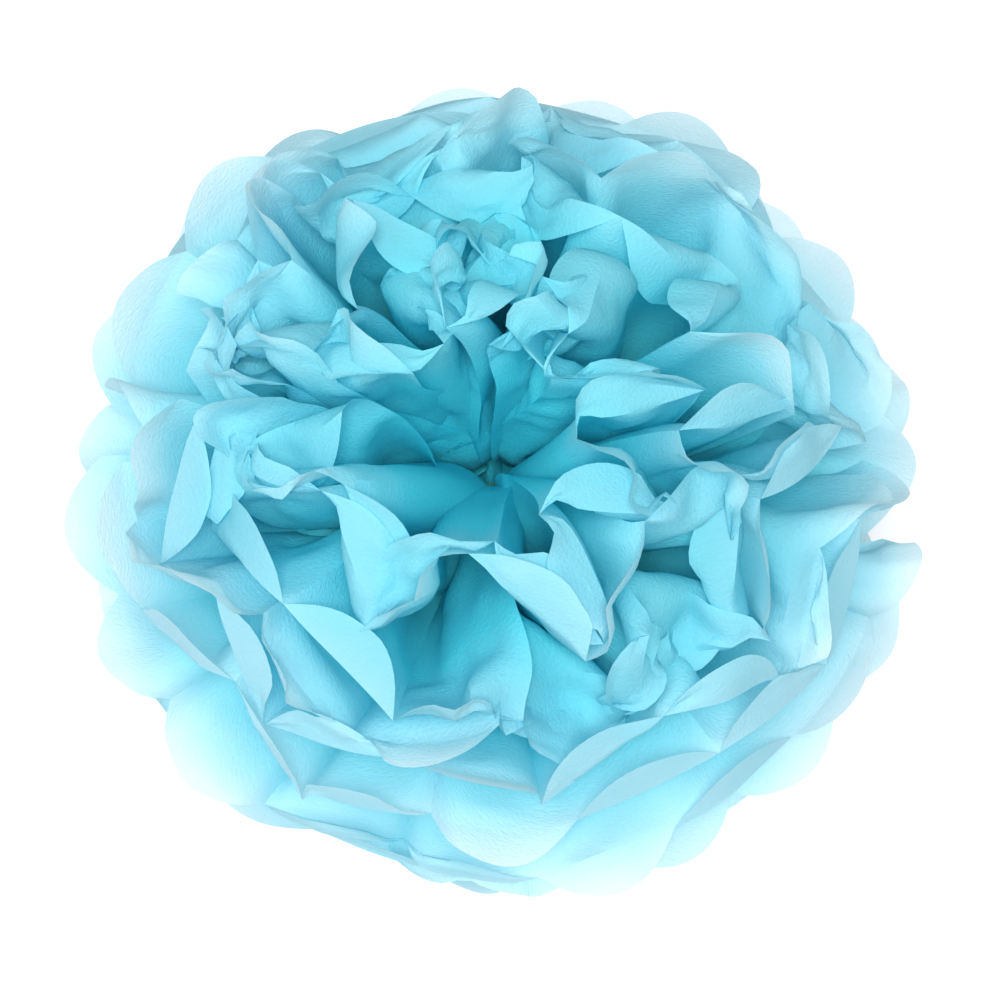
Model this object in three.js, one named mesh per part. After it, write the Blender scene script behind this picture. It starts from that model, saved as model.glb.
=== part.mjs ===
// A tissue paper pom pom: a stack of tissue sheets, folded together like an accordion, tied round
// the waist with florist's wire, with both ends cut round. Each end of each sheet fans out over
// half a turn, and the sheets are pulled apart, half of them up and half of them down, into a
// ball of petals. Each sheet is one solid. Units are millimetres, +Z is up, and the origin is on
// the table, under the middle of the ball.
import * as THREE from "three";

const { seededRandom } = THREE.MathUtils;
const DEGREE = Math.PI / 180;

// The paper, as it was cut. Each end of each panel between two folds is cut round.
const SHEETS = 16;
const SHEET_WIDTH = 350; // across the folds
const SHEET_LENGTH = 250; // along the folds, from the tip of one round end to the other
const PANELS = 9;
const LOBE = 12; // how far a round end stands out from the notches on either side of it
const PAPER = 0.25; // the thickness of the solids, which is more than the paper's own 0.04
const FOLD = SHEET_WIDTH / PANELS;
const NOTCH = SHEET_LENGTH / 2 - LOBE; // from the middle of the sheet, along a fold

// The stack under the tie.
const PITCH = 0.6; // from one sheet to the next
const FLOOR_RADIUS = 5; // where the top and bottom sheets turn away from the stack
const SLIT = 1.6; // half the gap between the two fans of a sheet, which the tie runs through

// The spread of the petals.
const WAIST_HEIGHT = 111; // the middle of the ball above the table
const POLE_GAP = 3; // degrees between the upright axis and the innermost folds
const RINGS = [0, 0.15, 0.4, 1]; // where the folds have their points, as shares of their length
const PLEAT = [0, 0.3, 1, 1]; // how much of the full depth of a pleat there is at those points
const SPREAD = [0.5, 0.8, 1, 1]; // how far the sheets have come apart at those points
const SWAY = 3; // degrees that a sheet is turned from its place, at most
const SWAY_STEP = 0.5; // radians of the wave that turns one sheet after another
const UNEVEN = 0.03; // how far a fold strays from its place, as a share of the step between folds
const CURL = [12, 70]; // degrees that the round ends bend inwards at the equator, least and most

// The tie.
const WIRE = 0.9;
const WIRE_SIDES = 6;
const WIRE_GAP = 0.4; // between the wire and what it binds
const TWIST_RADIUS = 0.62 * WIRE; // from the middle of the twist to the middle of each wire
const TAIL = 26; // the twisted end
const TWISTS = 4;
const TWIST_STEPS = 6; // points in each turn of the twist
const LOOP_STEPS = 24;

const AQUA = 0x8fe0f0;
const GREEN = 0x3f7f58;

// A number between -1 and 1 that stays the same for the same fold or panel.
const SEED = 6;
const chance = (sheet, side, place) => 2 * seededRandom(SEED + place + 20 * side + 50 * sheet) - 1;

// The floor of a sheet is the flat round part of it in the stack. Floors grow towards the middle
// of the stack, because each petal turns up, or down, outside the one before.
const floorHeight = (sheet) => ((SHEETS - 1) / 2 - sheet) * PITCH;
const floorRadius = (sheet) => FLOOR_RADIUS + PITCH * Math.min(sheet, SHEETS - 1 - sheet);

// A point on a sheet: along is measured from the rim of the floor, azimuth round the axis from +X,
// and polar is the angle from +Z to the paper. All angles are in radians.
function onSheet(sheet, azimuth, along, polar) {
  const out = floorRadius(sheet) + along * Math.sin(polar);
  return new THREE.Vector3(
    out * Math.cos(azimuth),
    out * Math.sin(azimuth),
    floorHeight(sheet) + along * Math.cos(polar),
  );
}

// How far a fold leans from the middle of its pleat, so that a panel is as wide as it was folded.
function fullLean(sheet, along, polar) {
  let low = 0;
  let high = Math.PI / 3;
  for (let i = 0; i < 30; i++) {
    const lean = (low + high) / 2;
    const inner = onSheet(sheet, 0, along, polar - lean);
    const outer = onSheet(sheet, Math.PI / PANELS, along, polar + lean);
    if (inner.distanceTo(outer) < FOLD) low = lean;
    else high = lean;
  }
  return low;
}

// The polar angle of the middle of a pleat and the lean of its folds, at one ring of one sheet.
// The innermost folds stay POLE_GAP from the axis, and the sheets are evenly spread between them.
function pleatAt(sheet, ring) {
  const reach = RINGS[ring] * (NOTCH - floorRadius(sheet));
  const firstReach = RINGS[ring] * (NOTCH - FLOOR_RADIUS);
  let first = POLE_GAP * DEGREE;
  for (let i = 0; i < 30; i++)
    first = POLE_GAP * DEGREE + PLEAT[ring] * fullLean(0, firstReach, first);
  first = Math.PI / 2 - SPREAD[ring] * (Math.PI / 2 - first);
  const polar = first + (sheet / (SHEETS - 1)) * (Math.PI - 2 * first);
  return { reach, polar, lean: PLEAT[ring] * fullLean(sheet, reach, polar) };
}

// Folds turn in and out by turns. A fold runs right along the sheet, under the tie, so where the
// two fans of a sheet meet, their last folds turn the same way.
const turnsOut = (side, fold) => (fold + side) % 2 === 1;

// One fan's folds, as points [ring][fold]. side is 0 for the fan towards +X and 1 towards -X.
function fanFolds(sheet, side) {
  return RINGS.map((share, ring) => {
    const { reach, polar, lean } = pleatAt(sheet, ring);
    const sway = SWAY * DEGREE * share ** 2 * Math.sin(SWAY_STEP * sheet);
    return Array.from({ length: PANELS + 1 }, (_, fold) => {
      const tilt = polar + (turnsOut(side, fold) ? lean : -lean);
      const out = floorRadius(sheet) + reach * Math.sin(tilt);
      const widest = PANELS * Math.asin(Math.min(FOLD / (2 * out), 1));
      const half = Math.min(Math.PI / 2 - Math.asin(SLIT / out), widest);
      const atEnd = fold === 0 || fold === PANELS;
      const stray = atEnd ? 0 : UNEVEN * share * chance(sheet, side, fold);
      const azimuth = side * Math.PI - half + (2 * half * (fold + stray)) / PANELS + sway;
      return onSheet(sheet, azimuth, reach, tilt);
    });
  });
}

// Three points on the round end of a panel, which bends inwards about the line between its
// notches, and less so near the poles, where the pleats are close together. before and after are
// the folds on either side of it, each from its base to its notch.
function roundEnd(before, after, curl) {
  const base = before[0].clone().lerp(after[0], 0.5);
  const middle = before[1].clone().lerp(after[1], 0.5);
  const chord = after[1].clone().sub(before[1]).normalize();
  const outwards = middle.clone().sub(base).projectOnPlane(chord).normalize();
  const inwards = chord.clone().cross(outwards);
  if (inwards.dot(new THREE.Vector3(middle.x, middle.y, 0)) > 0) inwards.negate();
  const out = Math.hypot(middle.x, middle.y) / NOTCH;
  const bend = THREE.MathUtils.lerp(...CURL, curl) * DEGREE * out ** 2;
  const rise = outwards.multiplyScalar(Math.cos(bend)).addScaledVector(inwards, Math.sin(bend));
  return [0.25, 0.5, 0.75].map((share) => {
    const height = LOBE * (1 - (2 * share - 1) ** 2);
    return before[1].clone().lerp(after[1], share).addScaledVector(rise, height);
  });
}

// The middle surface of a sheet: its points, and its triangles facing up.
function sheetSurface(sheet) {
  const points = [new THREE.Vector3(0, 0, floorHeight(sheet))];
  const triangles = [];
  const add = (point) => points.push(point) - 1;
  const fans = [0, 1].map((side) => {
    const folds = fanFolds(sheet, side);
    return { folds, ids: folds.map((ring) => ring.map(add)) };
  });
  const last = RINGS.length - 1;
  fans.forEach(({ folds, ids }, side) => {
    const floor = ids[0];
    for (let i = 0; i < PANELS; i++) triangles.push([0, floor[i], floor[i + 1]]);
    triangles.push([0, floor[PANELS], fans[1 - side].ids[0][0]]);
    for (let i = 0; i < PANELS; i++) {
      for (let ring = 0; ring < last; ring++) {
        const [a, b] = [ids[ring][i], ids[ring][i + 1]];
        const [c, d] = [ids[ring + 1][i], ids[ring + 1][i + 1]];
        if (turnsOut(side, i)) triangles.push([a, c, d], [a, d, b]);
        else triangles.push([a, c, b], [b, c, d]);
      }
      const before = [folds[last - 1][i], folds[last][i]];
      const after = [folds[last - 1][i + 1], folds[last][i + 1]];
      const curl = (1 + chance(sheet, side, i)) / 2;
      const [p, q, r] = roundEnd(before, after, curl).map(add);
      const [start, stop] = [ids[last][i], ids[last][i + 1]];
      triangles.push([start, p, q], [start, q, stop], [stop, q, r]);
    }
  });
  return { points, triangles };
}

// The direction in which each point moves to thicken a surface, lengthened at folds so that the
// paper keeps its thickness there, up to the limit of a very tight fold.
function thickeningDirections(points, triangles) {
  const TIGHTEST = 0.4;
  const directions = points.map(() => new THREE.Vector3());
  const faces = points.map(() => []);
  for (const ids of triangles) {
    const corners = ids.map((id) => points[id]);
    const normal = new THREE.Triangle(...corners).getNormal(new THREE.Vector3());
    ids.forEach((id, i) => {
      const one = corners[(i + 1) % 3].clone().sub(corners[i]);
      const other = corners[(i + 2) % 3].clone().sub(corners[i]);
      directions[id].addScaledVector(normal, one.angleTo(other));
      faces[id].push(normal);
    });
  }
  return directions.map((direction, id) => {
    direction.normalize();
    const total = faces[id].reduce((sum, face) => sum + face.dot(direction), 0);
    return direction.divideScalar(Math.max(total / faces[id].length, TIGHTEST));
  });
}

// A point lifted above the table. What would sink into it lies flat instead, pushed outwards, with
// the last sheet on the table and each one before it just above.
function aboveTable(point, lowest) {
  const sunk = Math.max(lowest - WAIST_HEIGHT - point.z, 0);
  const out = Math.hypot(point.x, point.y);
  const push = out > 0 ? 1 + sunk / out : 1;
  return new THREE.Vector3(point.x * push, point.y * push, point.z + WAIST_HEIGHT + sunk);
}

// A sheet's surface made into a closed shell that stands on the table.
function shell(sheet) {
  const { points, triangles } = sheetSurface(sheet);
  const count = points.length;
  const positions = [];
  const directions = thickeningDirections(points, triangles);
  for (const face of [1, -1]) {
    const lowest = (SHEETS - 1 - sheet) * PITCH + (face > 0 ? PAPER : 0);
    points.forEach((point, id) => {
      const moved = point.clone().addScaledVector(directions[id], (face * PAPER) / 2);
      positions.push(...aboveTable(moved, lowest).toArray());
    });
  }
  const edges = new Map();
  for (const [a, b, c] of triangles)
    for (const [from, to] of [[a, b], [b, c], [c, a]])
      if (!edges.delete(`${to},${from}`)) edges.set(`${from},${to}`, [from, to]);
  const index = triangles.flatMap(([a, b, c]) => [a, b, c, c + count, b + count, a + count]);
  for (const [from, to] of edges.values())
    index.push(from, from + count, to + count, from, to + count, to);
  const geometry = new THREE.BufferGeometry();
  geometry.setAttribute("position", new THREE.Float32BufferAttribute(positions, 3));
  geometry.setIndex(index);
  geometry.computeVertexNormals();
  return geometry;
}

// The wire runs down one strand of its twisted tail, round the waist through the slits, and back
// up the other strand.
function tiePath() {
  const clear = WIRE_GAP + WIRE / 2;
  const across = floorRadius((SHEETS - 1) / 2) + clear;
  const overFloor = floorHeight(0) + PAPER / 2 + clear;
  const up = overFloor / Math.sqrt(1 - (FLOOR_RADIUS / across) ** 2);
  const twist = (phase) =>
    Array.from({ length: TWISTS * TWIST_STEPS + 1 }, (_, i) => {
      const angle = phase + (2 * Math.PI * i) / TWIST_STEPS;
      const y = across + 2 * WIRE + (TAIL * i) / (TWISTS * TWIST_STEPS);
      return new THREE.Vector3(TWIST_RADIUS * Math.cos(angle), y, TWIST_RADIUS * Math.sin(angle));
    });
  const loop = Array.from({ length: LOOP_STEPS - 1 }, (_, i) => {
    const angle = (2 * Math.PI * (i + 1)) / LOOP_STEPS;
    return new THREE.Vector3(0, across * Math.cos(angle), up * Math.sin(angle));
  });
  const points = [...twist(Math.PI / 2).reverse(), ...loop, ...twist(-Math.PI / 2)];
  return new THREE.CatmullRomCurve3(points, false, "centripetal");
}

function tieGeometry() {
  const section = new THREE.Shape();
  section.absarc(0, 0, WIRE / 2, 0, 2 * Math.PI);
  const steps = LOOP_STEPS + 2 * TWISTS * TWIST_STEPS;
  const curveSegments = WIRE_SIDES;
  return new THREE.ExtrudeGeometry(section, { steps, curveSegments, extrudePath: tiePath() });
}

const paper = { color: AQUA, roughness: 0.85, metalness: 0, side: THREE.DoubleSide };
const enamel = { color: GREEN, roughness: 0.6, metalness: 0 };

const pompom = new THREE.Group();
pompom.name = "pompom";
for (let sheet = 0; sheet < SHEETS; sheet++) {
  const geometry = shell(sheet);
  const mesh = new THREE.Mesh(geometry, new THREE.MeshStandardMaterial(paper));
  mesh.name = `tissue_sheet_${String(sheet + 1).padStart(2, "0")}`;
  pompom.add(mesh);
}
const tie = new THREE.Mesh(tieGeometry(), new THREE.MeshStandardMaterial(enamel));
tie.name = "tie_wire";
tie.position.z = WAIST_HEIGHT;
pompom.add(tie);

export default pompom;
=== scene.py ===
import math

import bpy
import numpy as np
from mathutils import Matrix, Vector


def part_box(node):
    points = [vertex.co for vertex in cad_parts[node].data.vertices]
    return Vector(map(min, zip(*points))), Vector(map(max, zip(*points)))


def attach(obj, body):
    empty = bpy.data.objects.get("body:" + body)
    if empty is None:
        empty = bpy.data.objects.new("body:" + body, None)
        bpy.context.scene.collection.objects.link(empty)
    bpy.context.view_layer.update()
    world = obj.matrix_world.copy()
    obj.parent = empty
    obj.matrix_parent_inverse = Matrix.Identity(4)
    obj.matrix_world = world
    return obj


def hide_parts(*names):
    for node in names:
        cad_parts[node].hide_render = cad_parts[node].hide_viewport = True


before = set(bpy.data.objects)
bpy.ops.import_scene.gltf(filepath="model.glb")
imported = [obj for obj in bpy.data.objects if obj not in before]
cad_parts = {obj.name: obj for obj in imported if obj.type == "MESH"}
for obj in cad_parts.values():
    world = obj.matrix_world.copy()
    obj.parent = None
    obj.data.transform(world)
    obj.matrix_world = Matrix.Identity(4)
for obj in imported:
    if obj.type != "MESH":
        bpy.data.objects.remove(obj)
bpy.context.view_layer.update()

DEGREE = math.pi / 180

# The paper as it was cut, in metres.
SHEETS = 16
SHEET_WIDTH = 0.350
SHEET_LENGTH = 0.250
PANELS = 9
LOBE = 0.012
FOLD = SHEET_WIDTH / PANELS
NOTCH = SHEET_LENGTH / 2 - LOBE

# The waist, under the tie.
WAIST_RADIUS = 0.009
WAIST_PITCH = 0.00035
WAIST_PLEAT = 0.004  # half the height of the crushed pleats
WAIST_SHARE = 0.21  # the share of its width that the paper keeps there
GATHER_END = 0.039  # how far from the middle the paper is still gathered
tie_low, tie_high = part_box("tie_wire")
WAIST = Vector(((tie_low[0] + tie_high[0]) / 2, 0.0, (tie_low[2] + tie_high[2]) / 2))

# The ball. Polar angles are measured from the axis, +Z.
STEP = math.pi / PANELS  # each fan is half a turn
POLE_GAP = 3 * DEGREE
MOST_POLAR = 86 * DEGREE
MOST_LEAN = 75 * DEGREE
OFF_AXIS = 0.02  # radians
SPREAD_NEAR = 0.55  # how far the sheets have come apart at the waist, as a share
SPREAD_REACH = 0.03  # how far out they have come apart fully

# The grid of each fan: columns across the folds, body rows along them, and rows in the round ends.
# Row 0 lies under the tie, and both fans of a sheet share it.
PER_PANEL = 7
COLUMNS = PANELS * PER_PANEL + 1
BODY_ROWS = 22
END_ROWS = 4
ROWS = 1 + BODY_ROWS + END_ROWS
CHORD_ROW = BODY_ROWS  # the row of the notches
FANS = 2 * SHEETS
FINER = 2  # faces made across each face of the grid

# How the sheets differ.
SEED = 15
FRONT_OPEN = (9, 8, 6, 3)  # degrees that the first sheets lean out at the front of the heart
FOLDED_SHEETS = 7  # the sheets, from the top, with the most folded ends
MIDDLE_SHEETS = range(4, 12)
MIDDLE_SEAM_CURL = 0.2  # radians, of the ends next to the seam in those sheets

# The relaxing.
STEPS = 320
PASSES = 3
CARRIED_ON = 0.9  # the share of its last move that each point repeats
STRETCH_STIFFNESS = 0.9
SHEAR_STIFFNESS = 0.5
BEND_STIFFNESS = 0.12
END_STIFFNESS = 0.35
HOLD_NEAR = 0.002  # how hard the paper is drawn to its goal at the waist
HOLD_FAR = 0.016  # and what is added to that by the notches
FOLD_GAP = 0.0007  # between the panels of a closed fold
FOLD_GAP_GROWTH = 0.0005  # added for each column away from the fold
GAP = 0.0011  # kept between neighbouring sheets
CONTACT_REACH = 0.010
CONTACT_STEP = 0.003
CONTACT_EVERY = 8  # steps between searches for the nearest points
LAYER = 0.0003  # that each sheet keeps above the floor and the sheets under it
SEAM_GAP = 0.0004
SEAM_START = 0.02  # where the seam starts to turn, as a distance from the tie
SEAM_SPAN = 0.09  # and how much farther out it has turned fully

rng = np.random.default_rng(SEED)

# Each sheet's seam, where its two fans meet, is turned to one side or the other, and most so in
# the middle of the stack.
fan_sheet = np.arange(FANS) // 2
fan_side = np.where(np.arange(FANS) % 2, -1.0, 1.0)[:, None, None].astype(np.float32)
SHEET_TURN = np.where(fan_sheet % 2, 1, -1) * np.repeat(rng.uniform(4, 9, SHEETS), 2) * DEGREE
SHEET_TURN *= 1 - np.abs(2 * fan_sheet / (SHEETS - 1) - 1)


def smoothstep(x):
    x = np.clip(x, 0, 1)
    return x * x * (3 - 2 * x)


def smooth_noise(count, length, reach):
    """Random series, each smooth over so many of its values, about 1 high."""
    raw = rng.normal(size=(count, length + 6 * reach))
    kernel = np.exp(-0.5 * (np.arange(-3 * reach, 3 * reach + 1) / reach) ** 2)
    kernel /= np.sqrt((kernel**2).sum())
    return np.stack([np.convolve(row, kernel, "valid")[:length] for row in raw])


# ---------------------------------------------------------------- the flat pattern

in_panel = np.arange(COLUMNS) / PER_PANEL % 1.0
scallop = 1 - (2 * in_panel - 1) ** 2
along = np.empty((ROWS, COLUMNS), np.float32)
along[0] = 0
along[1 : 1 + BODY_ROWS] = np.linspace(WAIST_RADIUS, NOTCH, BODY_ROWS)[:, None]
for i in range(END_ROWS):
    along[1 + BODY_ROWS + i] = NOTCH + LOBE * scallop * (i + 1) / END_ROWS
gathered = smoothstep((along - WAIST_RADIUS) / (GATHER_END - WAIST_RADIUS))
gather = WAIST_SHARE + (1 - WAIST_SHARE) * gathered
column_width = FOLD / PER_PANEL


def flat_length(rows, columns):
    """The flat distance from each point of the grid to the one so many rows and columns on."""
    here = (slice(ROWS - rows), slice(max(0, -columns), COLUMNS - max(0, columns)))
    there = (slice(rows, None), slice(max(0, columns), COLUMNS - max(0, -columns)))
    across = columns * column_width * (gather[here] + gather[there]) / 2
    return np.hypot(across, along[there] - along[here]).astype(np.float32)


# ---------------------------------------------------------------- the folded and fanned stack

reaches = along[1 : 1 + BODY_ROWS, 0].astype(float) - WAIST_RADIUS
grow = (reaches / reaches[-1])[:, None]
widths = FOLD * gather[1 : 1 + BODY_ROWS, 0].astype(float)


def skeleton_point(reach, azimuth, polar, height):
    out = WAIST_RADIUS + reach * np.sin(polar)
    return np.stack(
        [out * np.cos(azimuth), out * np.sin(azimuth), height + reach * np.cos(polar)], axis=-1
    )


def full_lean(reach, polar, width, step):
    """How far folds lean from the middle of their pleat for panels of this width."""
    reach, polar, width, step = np.broadcast_arrays(reach, polar, width, step)
    low = np.zeros(reach.shape)
    high = np.full(reach.shape, MOST_LEAN)
    for _ in range(26):
        lean = (low + high) / 2
        inner = skeleton_point(reach, 0 * step, polar - lean, WAIST_PLEAT)
        outer = skeleton_point(reach, step, polar + lean, -WAIST_PLEAT)
        short = np.linalg.norm(inner - outer, axis=-1) < width
        low = np.where(short, lean, low)
        high = np.where(short, high, lean)
    return low


def top_polar():
    """The polar angle of the top sheet at each row. Its inner folds just miss the axis, and near
    the waist it still lies on the stack."""
    polar = np.full(BODY_ROWS, POLE_GAP)
    for _ in range(40):
        wanted = POLE_GAP + full_lean(reaches, polar, widths, STEP)
        polar = 0.5 * polar + 0.5 * np.minimum(wanted, MOST_POLAR)
    spread = SPREAD_NEAR + (1 - SPREAD_NEAR) * smoothstep(reaches / SPREAD_REACH)
    return math.pi / 2 - spread * (math.pi / 2 - polar)


first_polar = top_polar()


def sheet_folds(sheet, side, turn, lift, depth):
    """The folds of one fan, as points [body row, fold]. turn and lift move the folds' ends round
    the axis and away from it, and depth is the share of its lean that each has."""
    share = sheet / (SHEETS - 1)
    polar = (first_polar + share * (math.pi - 2 * first_polar))[:, None]
    fold = np.arange(PANELS + 1)
    sign = np.where(fold % 2, 1.0, -1.0)
    azimuth = -math.pi / 2 + STEP * fold + turn * grow
    panel_lean = full_lean(reaches[:, None], polar, widths[:, None], np.diff(azimuth, axis=1))
    lean = np.concatenate([panel_lean[:, :1], panel_lean], axis=1)
    lean += np.concatenate([panel_lean, panel_lean[:, -1:]], axis=1)
    lean /= 2
    tilt = polar + sign * lean * (1 + (depth - 1) * grow) + lift * grow**2
    tilt = np.clip(tilt, OFF_AXIS, math.pi - OFF_AXIS)
    height = WAIST_PITCH * ((SHEETS - 1) / 2 - sheet) - sign * WAIST_PLEAT
    points = skeleton_point(reaches[:, None], azimuth, tilt, height)
    if side:
        points[..., 0] *= -1
    return points


def fan_grid(sheet, side, turn, lift, depth, bulge, curl):
    """The grid of one fan: straight across each panel apart from its bulge, with round ends that
    are bent inwards by each panel's curl."""
    folds = sheet_folds(sheet, side, turn, lift, depth)
    grid = np.zeros((ROWS, COLUMNS, 3))
    body = grid[1 : 1 + BODY_ROWS]
    for panel in range(PANELS):
        a, b = folds[:, panel], folds[:, panel + 1]
        for j in range(PER_PANEL + 1):
            body[:, panel * PER_PANEL + j] = a + (b - a) * (j / PER_PANEL)
    down = np.cross(np.gradient(body, axis=1), np.gradient(body, axis=0))
    down /= np.linalg.norm(down, axis=-1, keepdims=True) + 1e-9
    if side:
        down *= -1
    sag = np.append(np.repeat(bulge, PER_PANEL), bulge[-1]) * (4 * in_panel * (1 - in_panel))
    body += down * (sag * grow)[..., None]
    grid[0] = grid[1]
    grid[0, :, 0] = 0
    tangent = body[-1] - body[-3]
    tangent /= np.linalg.norm(tangent, axis=-1, keepdims=True)
    for panel in range(PANELS):
        columns = slice(panel * PER_PANEL, (panel + 1) * PER_PANEL + 1)
        notches = body[-1, columns]
        chord = notches[-1] - notches[0]
        chord /= np.linalg.norm(chord)
        out = tangent[columns].mean(0)
        out -= chord * out.dot(chord)
        out /= np.linalg.norm(out)
        inward = np.cross(chord, out)
        if inward.dot(-down[-1, columns].mean(0)) < 0:
            inward = -inward
        rise = out * math.cos(curl[panel]) + inward * math.sin(curl[panel])
        for i in range(END_ROWS):
            height = LOBE * scallop[columns] * (i + 1) / END_ROWS
            grid[1 + BODY_ROWS + i, columns] = notches + rise * height[:, None]
    return grid


# ---------------------------------------------------------------- relaxing the paper


def pull(points, first, second, rest, stiffness):
    """Moves the two ends of each link together or apart, towards its rest length."""
    a, b = points[first], points[second]
    d = b - a
    length = np.sqrt((d * d).sum(-1)) + 1e-9
    move = (0.5 * stiffness * (1 - rest / length))[..., None] * d
    a += move
    b -= move


def links(rows, columns, rest, stiffness, last_row=ROWS - 1):
    """The links from each point to the one so many rows and columns on, down to the last row, in
    groups with no point in common, as (first points, second points, rest lengths, stiffness)."""
    groups = []
    stride = 2 * (rows or columns)
    columns_here = slice(max(0, -columns), COLUMNS - max(0, columns))
    columns_there = slice(max(0, columns), COLUMNS - max(0, -columns))
    for start in range(stride):
        if rows:
            first = (slice(start, last_row + 1 - rows, stride), columns_here)
            second = (slice(start + rows, last_row + 1, stride), columns_there)
            lengths = rest[..., first[0], :]
        else:
            first = (slice(None), slice(start, COLUMNS - columns, stride))
            second = (slice(None), slice(start + columns, COLUMNS, stride))
            lengths = rest[..., first[1]]
        groups.append(((slice(None), *first), (slice(None), *second), lengths, stiffness))
    return groups


def normals(points):
    """The paper's normals, which point at the sheet above."""
    across = np.empty_like(points)
    across[:, :, 1:-1] = points[:, :, 2:] - points[:, :, :-2]
    across[:, :, 0] = points[:, :, 1] - points[:, :, 0]
    across[:, :, -1] = points[:, :, -1] - points[:, :, -2]
    down = np.empty_like(points)
    down[:, 1:-1] = points[:, 2:] - points[:, :-2]
    down[:, 0] = points[:, 1] - points[:, 0]
    down[:, -1] = points[:, -1] - points[:, CHORD_ROW - 1]
    n = np.cross(down, across)
    n /= np.sqrt((n * n).sum(-1, keepdims=True)) + 1e-12
    n[1::2] *= -1
    return n


class Contact:
    """Keeps the points of each fan on their side of the fan next to them."""

    ROWS_ROUND = 2
    COLUMNS_ROUND = 6

    def __init__(self, direction):
        self.direction = direction  # 1 where the other sheet is the next one down, or else -1
        if direction > 0:
            self.mine, self.theirs = slice(0, FANS - 2), slice(2, FANS)
        else:
            self.mine, self.theirs = slice(2, FANS), slice(0, FANS - 2)

    def find(self, points):
        """Finds the other fan's nearest point for each point, a few rows and columns round."""
        mine, theirs = points[self.mine], points[self.theirs]
        best = np.full(mine.shape[:3], 1e9, np.float32)
        self.fan = np.arange(best.shape[0])[:, None, None]
        self.row = np.zeros(best.shape, np.int32)
        self.column = np.zeros(best.shape, np.int32)
        for dr in range(-self.ROWS_ROUND, self.ROWS_ROUND + 1):
            row = np.clip(np.arange(ROWS) + dr, 0, ROWS - 1)
            shifted = theirs[:, row]
            for dc in range(-self.COLUMNS_ROUND, self.COLUMNS_ROUND + 1):
                column = np.clip(np.arange(COLUMNS) + dc, 0, COLUMNS - 1)
                d = mine - shifted[:, :, column]
                d = (d * d).sum(-1)
                nearer = d < best
                best = np.where(nearer, d, best)
                self.row = np.where(nearer, row[None, :, None], self.row)
                self.column = np.where(nearer, column[None, None, :], self.column)

    def push(self, points, normal):
        """Moves the points that are too near to the other fan, or past it, half of the way out."""
        mine = points[self.mine]
        theirs = points[self.theirs][self.fan, self.row, self.column]
        n = normal[self.theirs][self.fan, self.row, self.column]
        d = mine - theirs
        height = (d * n).sum(-1) * self.direction
        near = (d * d).sum(-1) < CONTACT_REACH**2
        lack = np.where(near, np.clip(GAP - height, 0, CONTACT_STEP), 0)
        mine += (0.5 * self.direction * lack)[..., None] * n


def bend_ends(points, bends):
    """Moves each round end towards its bend about the line between its notches."""
    body = points[:, CHORD_ROW, : COLUMNS - 1].reshape(FANS, PANELS, PER_PANEL, 3)
    before = points[:, CHORD_ROW - 2, : COLUMNS - 1].reshape(FANS, PANELS, PER_PANEL, 3)
    folds = points[:, CHORD_ROW, ::PER_PANEL]
    chord = folds[:, 1:] - folds[:, :-1]
    chord /= np.linalg.norm(chord, axis=-1, keepdims=True) + 1e-9
    out = (body - before).mean(2)
    out -= chord * (out * chord).sum(-1, keepdims=True)
    out /= np.linalg.norm(out, axis=-1, keepdims=True) + 1e-9
    up = np.cross(out, chord)
    up[1::2] *= -1
    rise = out * np.cos(bends)[..., None] + up * np.sin(bends)[..., None]
    for i in range(END_ROWS):
        height = LOBE * scallop[: COLUMNS - 1].reshape(PANELS, PER_PANEL) * (i + 1) / END_ROWS
        wanted = body + rise[:, :, None] * height[None, :, :, None]
        row = points[:, CHORD_ROW + 1 + i, : COLUMNS - 1]
        row += END_STIFFNESS * (wanted.reshape(FANS, COLUMNS - 1, 3) - row)


def part_folds(points):
    """Keeps the two panels at each fold from passing through each other."""
    for m in range(1, PER_PANEL + 1):
        left = np.arange(1, PANELS) * PER_PANEL - m
        right = np.arange(1, PANELS) * PER_PANEL + m
        d = points[:, :, right] - points[:, :, left]
        length = np.sqrt((d * d).sum(-1)) + 1e-9
        least = FOLD_GAP + FOLD_GAP_GROWTH * m
        move = (0.5 * np.clip(least - length, 0, None) / length)[..., None] * d
        points[:, :, left] -= move
        points[:, :, right] += move


def stop_at_seam(points):
    """Keeps each fan on its side of its sheet's seam."""
    out = np.linalg.norm(points, axis=-1)
    turned = smoothstep((out - SEAM_START) / SEAM_SPAN) * SHEET_TURN[:, None, None]
    wall = -np.tan(turned) * points[..., 1] + fan_side * SEAM_GAP
    past = wall - points[..., 0]
    past = np.where(fan_side > 0, np.clip(past, 0, None), np.clip(past, None, 0))
    points[:, 2:, :, 0] += past[:, 2:]


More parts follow.
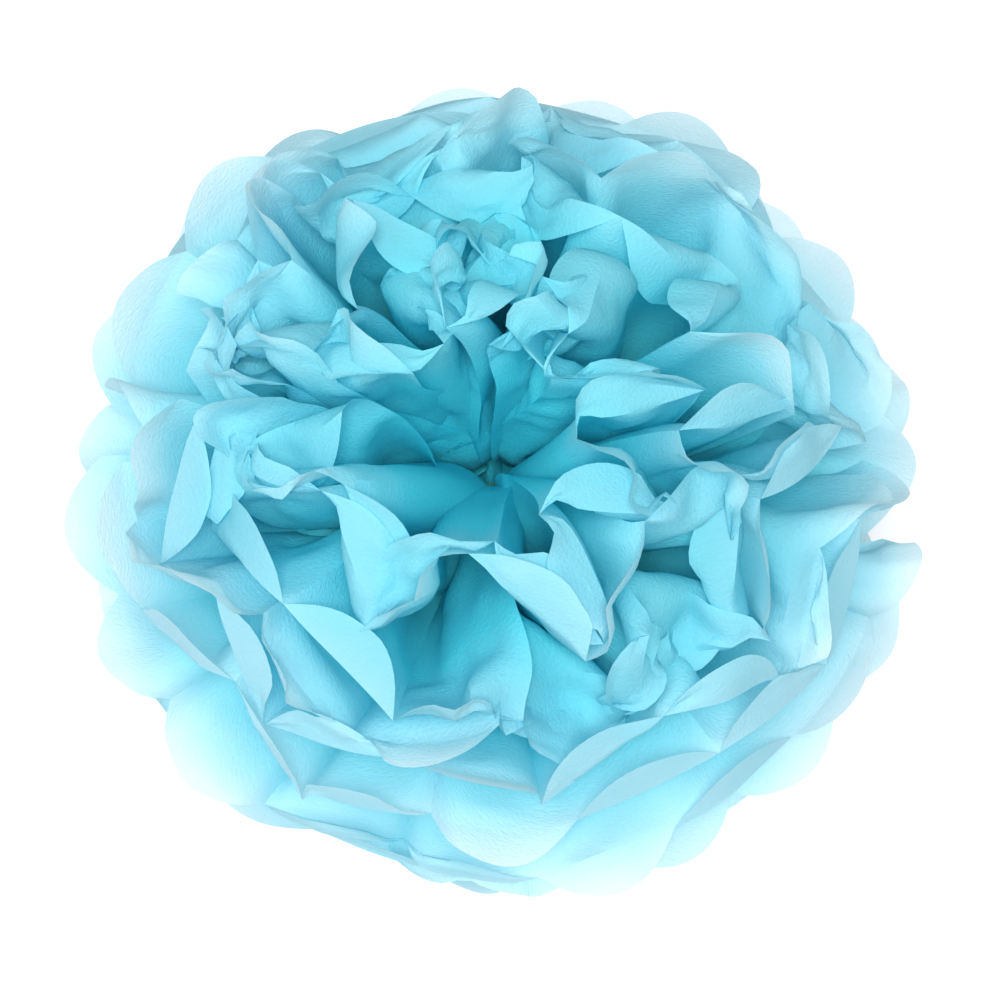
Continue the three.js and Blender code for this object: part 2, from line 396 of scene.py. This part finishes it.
def relax(start, goal, fold_angles, bends):
    """start and goal are grids [fan, row, column], fold_angles are [fan, fold] and bends are
    [fan, panel]."""
    points = start.astype(np.float32)
    previous = points.copy()
    goal = goal.astype(np.float32)
    pinned = points[:, :2].copy()

    across = flat_length(0, 2)[None].repeat(FANS, 0)
    for fold in range(1, PANELS):
        over_fold = across[:, :, fold * PER_PANEL - 1]
        over_fold[:] = over_fold * np.sin(fold_angles[:, fold] / 2)[:, None]
    bending = links(0, 2, across, BEND_STIFFNESS)
    bending += links(2, 0, flat_length(2, 0), BEND_STIFFNESS, CHORD_ROW)
    keeping = links(1, 1, flat_length(1, 1), SHEAR_STIFFNESS)
    keeping += links(1, -1, flat_length(1, -1), SHEAR_STIFFNESS)
    keeping += links(0, 1, flat_length(0, 1), STRETCH_STIFFNESS)
    keeping += links(1, 0, flat_length(1, 0), STRETCH_STIFFNESS)

    hold = np.zeros((1, ROWS, 1, 1), np.float32)
    hold[0, 1 : 1 + BODY_ROWS, 0] = HOLD_NEAR + HOLD_FAR * grow**2
    below, above = Contact(1), Contact(-1)
    lowest = (SHEETS - 1 - fan_sheet)[:, None, None] * LAYER - WAIST.z + LAYER

    for step in range(STEPS):
        previous, points = points, points + CARRIED_ON * (points - previous)
        target = start + (goal - start) * smoothstep(min(1.0, (step + 1) / (0.5 * STEPS)))
        points += hold * (target - points)
        for _ in range(PASSES):
            for link in bending:
                pull(points, *link)
            part_folds(points)
            for link in keeping:
                pull(points, *link)
            points[:, :2] = pinned
            points[:, CHORD_ROW + 1 :, ::PER_PANEL] = points[:, CHORD_ROW, None, ::PER_PANEL]
        if step % CONTACT_EVERY == 0:
            below.find(points)
            above.find(points)
        bend_ends(points, bends)
        normal = normals(points)
        below.push(points, normal)
        above.push(points, normal)
        stop_at_seam(points)
        points[..., 2] = np.maximum(points[..., 2], lowest)
    return points


def make_grids():
    """The relaxed grid of each fan. The random draws give each panel and fold its own shape."""
    start = np.zeros((FANS, ROWS, COLUMNS, 3))
    goal = np.zeros((FANS, ROWS, COLUMNS, 3))
    bends = np.zeros((FANS, PANELS))
    unmoved = np.zeros(PANELS + 1)
    whole = np.ones(PANELS + 1)
    flat = np.zeros(PANELS)
    fade = np.abs(np.sin(np.pi * np.arange(PANELS + 1) / PANELS)) ** 0.3
    openness = [smooth_noise(2 * PANELS, SHEETS, 2)[:, sheet] for sheet in range(SHEETS)]
    for sheet in range(SHEETS):
        fine = smooth_noise(2, PANELS + 1, 1)
        pole = abs(sheet - (SHEETS - 1) / 2) / ((SHEETS - 1) / 2)
        for side in range(2):
            fan = 2 * sheet + side
            start[fan] = fan_grid(sheet, side, unmoved, unmoved, whole, flat, flat + 15 * DEGREE)
            open_here = openness[sheet][side * PANELS : (side + 1) * PANELS]
            steps = np.exp((0.12 + 0.3 * pole) * (open_here + 0.35 * rng.normal(size=PANELS)))
            steps *= math.pi / steps.sum()
            turn = np.concatenate([[0], np.cumsum(steps)]) - STEP * np.arange(PANELS + 1)
            turn += 3 * rng.normal() * DEGREE * fade
            turn += SHEET_TURN[fan] * (-1 if side else 1)
            lift = (2.5 + 4 * pole**3) * fine[side] * DEGREE
            if side == 0 and sheet < len(FRONT_OPEN):
                lift += FRONT_OPEN[sheet] * DEGREE
            depth = rng.uniform(0.6, 1.0, PANELS + 1) - 0.25 * pole**3
            bulge = rng.uniform(0.000, 0.009, PANELS) * (1 - 0.6 * pole**2)
            folded = rng.random(PANELS) < (0.65 if sheet < FOLDED_SHEETS else 0.3)
            bend = np.where(folded, rng.uniform(50, 110, PANELS), rng.uniform(0, 35, PANELS))
            bends[fan] = bend * DEGREE
            if sheet in MIDDLE_SHEETS:
                bends[fan, [0, -1]] = MIDDLE_SEAM_CURL
            goal[fan] = fan_grid(sheet, side, turn, lift, depth, bulge, bends[fan])
    fold_angles = rng.uniform(40, 175, (FANS, PANELS + 1)) * DEGREE
    return relax(start, goal, fold_angles, bends)


# ---------------------------------------------------------------- meshes


def finer(values, times, breaks):
    """Cubic interpolation along the first axis, in stretches that end at the given places."""
    parts = []
    for low, high in zip(breaks[:-1], breaks[1:]):
        part = values[low : high + 1]
        ahead = np.concatenate([2 * part[:1] - part[1:2], part, 2 * part[-1:] - part[-2:-1]])
        at = np.arange((high - low) * times) / times
        i = at.astype(int)
        t = (at - i).reshape(-1, *[1] * (values.ndim - 1))
        p0, p1, p2, p3 = ahead[i], ahead[i + 1], ahead[i + 2], ahead[i + 3]
        cubic = p1 + 0.5 * t * (
            p2 - p0 + t * (2 * p0 - 5 * p1 + 4 * p2 - p3 + t * (3 * (p1 - p2) + p3 - p0))
        )
        parts.append(cubic)
    parts.append(values[breaks[-1] : breaks[-1] + 1])
    return np.concatenate(parts)


def sheet_mesh(name, fans):
    """One mesh for a sheet, from its two fans, which share the row of points under the tie. Each
    round end comes to a point at its notches."""
    vertices = []
    faces = []
    for side, grid in enumerate(fans):
        fine = finer(grid, FINER, [0, 1, CHORD_ROW, ROWS - 1])
        fine = finer(fine.transpose(1, 0, 2), FINER, list(range(0, COLUMNS, PER_PANEL)))
        fine = fine.transpose(1, 0, 2)
        rows, columns = fine.shape[:2]
        chord = FINER * CHORD_ROW
        ids = np.full((rows, columns), -1)
        for r in range(rows):
            for c in range(columns):
                if r > chord and c % (FINER * PER_PANEL) == 0:
                    ids[r, c] = ids[chord, c]
                elif r == 0 and side == 1:
                    ids[r, c] = shared[c]
                else:
                    ids[r, c] = len(vertices)
                    vertices.append(WAIST + Vector(fine[r, c]))
        shared = ids[0]
        for r in range(rows - 1):
            for c in range(columns - 1):
                loop = [ids[r, c], ids[r, c + 1], ids[r + 1, c + 1], ids[r + 1, c]]
                if side:
                    loop.reverse()
                face = list(dict.fromkeys(int(i) for i in loop))
                if len(face) > 2:
                    faces.append(face)
    mesh = bpy.data.meshes.new(name)
    mesh.from_pydata(vertices, [], faces)
    mesh.update()
    for polygon in mesh.polygons:
        polygon.use_smooth = True
    mesh.set_sharp_from_angle(angle=50 * DEGREE)
    piece = bpy.data.objects.new(name, mesh)
    bpy.context.scene.collection.objects.link(piece)
    return piece


# ---------------------------------------------------------------- materials

# The paper's colour at distances from the tie, in metres, with painted shade and painted light:
# darker and more saturated near the tie, where the heart of the ball lies in shade, and paler
# towards the outer ends, where more light falls on them.
PAINTED_SHADE_RAMP = [
    (0.045, (0.07, 0.80, 0.92, 1)),
    (0.080, (0.13, 0.82, 0.92, 1)),
    (0.104, (0.34, 0.77, 0.87, 1)),
    (0.124, (0.68, 0.82, 0.87, 1)),
]
PAINTED_SHADE_SCALE = 5.0  # the colour ramp's 0 to 1 is 0.2 m
PAINTED_SHADE_SQUASH = 0.87  # the surfaces of one colour are 1 / 0.87 as high as they are wide
MOTTLE = 0.012  # how far the noise moves the colours, in metres
TRANSLUCENCY = 0.46
WIRE_WRAP = [(0.0, (0.03, 0.16, 0.08, 1)), (1.0, (0.07, 0.28, 0.15, 1))]


def new_material(name):
    """A material with no nodes but its output: the material, a function that adds a node and sets
    its inputs, a function that links two sockets, and the output."""
    material = bpy.data.materials.new(name)
    material.use_nodes = True
    tree = material.node_tree
    tree.nodes.clear()

    def add(kind, settings=None):
        node = tree.nodes.new(f"ShaderNode{kind}")
        for key, value in (settings or {}).items():
            node.inputs[key].default_value = value
        return node

    return material, add, tree.links.new, add("OutputMaterial")


def add_ramp(add, stops):
    ramp = add("ValToRGB")
    elements = ramp.color_ramp.elements
    while len(elements) < len(stops):
        elements.new(1.0)
    for element, (position, color) in zip(elements, stops):
        element.position = position
        element.color = color
    return ramp


def tissue_material():
    material, add, link, out = new_material("tissue_paper")
    place = add("TexCoord").outputs["Object"]
    squashed = add("Mapping", {"Scale": (1, 1, PAINTED_SHADE_SQUASH)})
    link(place, squashed.inputs["Vector"])
    from_waist = add("VectorMath", {1: (WAIST.x, WAIST.y, PAINTED_SHADE_SQUASH * WAIST.z)})
    from_waist.operation = "DISTANCE"
    link(squashed.outputs["Vector"], from_waist.inputs[0])
    noise = add("TexNoise", {"Scale": 40.0, "Detail": 2.0})
    link(place, noise.inputs["Vector"])
    mottled = add("Math", {1: MOTTLE})
    mottled.operation = "MULTIPLY_ADD"
    link(noise.outputs["Fac"], mottled.inputs[0])
    link(from_waist.outputs["Value"], mottled.inputs[2])
    scaled = add("Math", {1: PAINTED_SHADE_SCALE})
    scaled.operation = "MULTIPLY"
    link(mottled.outputs[0], scaled.inputs[0])
    # The base colour carries painted shade near the tie and painted light at the outer ends, set
    # by distance from the tie.
    painted_shade = add_ramp(add, [(distance * PAINTED_SHADE_SCALE, color) for distance, color in PAINTED_SHADE_RAMP])
    link(scaled.outputs[0], painted_shade.inputs["Fac"])

    crinkle = add("TexNoise", {"Scale": 150.0, "Detail": 1.5})
    bump = add("Bump", {"Strength": 0.3, "Distance": 0.0012})
    link(crinkle.outputs["Fac"], bump.inputs["Height"])

    front = add("BsdfPrincipled", {"Roughness": 0.8, "Specular IOR Level": 0.15})
    link(painted_shade.outputs["Color"], front.inputs["Base Color"])
    back = add("BsdfTranslucent")
    link(painted_shade.outputs["Color"], back.inputs["Color"])
    mix = add("MixShader", {0: TRANSLUCENCY})
    for slot, shader in enumerate((front, back), 1):
        link(bump.outputs["Normal"], shader.inputs["Normal"])
        link(shader.outputs[0], mix.inputs[slot])
    link(mix.outputs[0], out.inputs[0])
    return material


def wire_material():
    material, add, link, out = new_material("wire_wrap")
    paint = add("BsdfPrincipled", {"Roughness": 0.55})
    noise = add("TexNoise", {"Scale": 900.0})
    ramp = add_ramp(add, WIRE_WRAP)
    link(noise.outputs["Fac"], ramp.inputs["Fac"])
    link(ramp.outputs["Color"], paint.inputs["Base Color"])
    link(paint.outputs[0], out.inputs[0])
    return material


def floor_material():
    material, add, link, out = new_material("floor")
    link(add("BsdfDiffuse", {0: (0.9, 0.9, 0.9, 1)}).outputs[0], out.inputs[0])
    return material


# ---------------------------------------------------------------- the pom pom

grids = make_grids()
tissue = tissue_material()
for sheet in range(SHEETS):
    piece = sheet_mesh(f"paper_{sheet + 1:02d}", grids[2 * sheet : 2 * sheet + 2])
    piece.data.materials.append(tissue)
    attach(piece, "root")
    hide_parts(f"tissue_sheet_{sheet + 1:02d}")

tie = bpy.data.objects["tie_wire"]
tie.data.materials.clear()
tie.data.materials.append(wire_material())

# ---------------------------------------------------------------- floor, light and camera

scene = bpy.context.scene

floor_mesh = bpy.data.meshes.new("floor")
floor_mesh.from_pydata([(-3, -3, 0), (3, -3, 0), (3, 3, 0), (-3, 3, 0)], [], [(0, 1, 2, 3)])
floor_mesh.materials.append(floor_material())
floor = bpy.data.objects.new("floor", floor_mesh)
scene.collection.objects.link(floor)

world = bpy.data.worlds.new("studio")
scene.world = world
world.use_nodes = True
background = world.node_tree.nodes["Background"]
background.inputs["Color"].default_value = (1, 1, 1, 1)
background.inputs["Strength"].default_value = 0.54


def turn_to(thing, direction):
    """Turns a light or a camera, which look along their -Z."""
    thing.rotation_mode = "QUATERNION"
    thing.rotation_quaternion = direction.to_track_quat("-Z", "Y")
    scene.collection.objects.link(thing)


def soft_light(name, place, power):
    """A round light 0.8 m across that shines at the tie."""
    data = bpy.data.lights.new(name, "AREA")
    data.shape = "DISK"
    data.size = 0.8
    data.energy = power
    light = bpy.data.objects.new(name, data)
    light.location = place
    turn_to(light, WAIST - Vector(place))


soft_light("key", (0.5, -0.6, 1.1), 5.5)
soft_light("front", (0.6, 0.0, 2.5), 53)

# The camera looks down at the ball from the +X side.
ELEVATION = 75 * DEGREE
DISTANCE = 0.663
AIM = Vector((0.0028, 0.0012, WAIST.z))
camera_data = bpy.data.cameras.new("camera")
camera_data.lens = 85
camera_data.clip_start = 0.01
camera = bpy.data.objects.new("camera", camera_data)
to_camera = Vector((math.cos(ELEVATION), 0.0, math.sin(ELEVATION)))
camera.location = AIM + to_camera * DISTANCE
turn_to(camera, -to_camera)
scene.camera = camera
scene.view_settings.view_transform = "Standard"
scene.cycles.max_bounces = 8
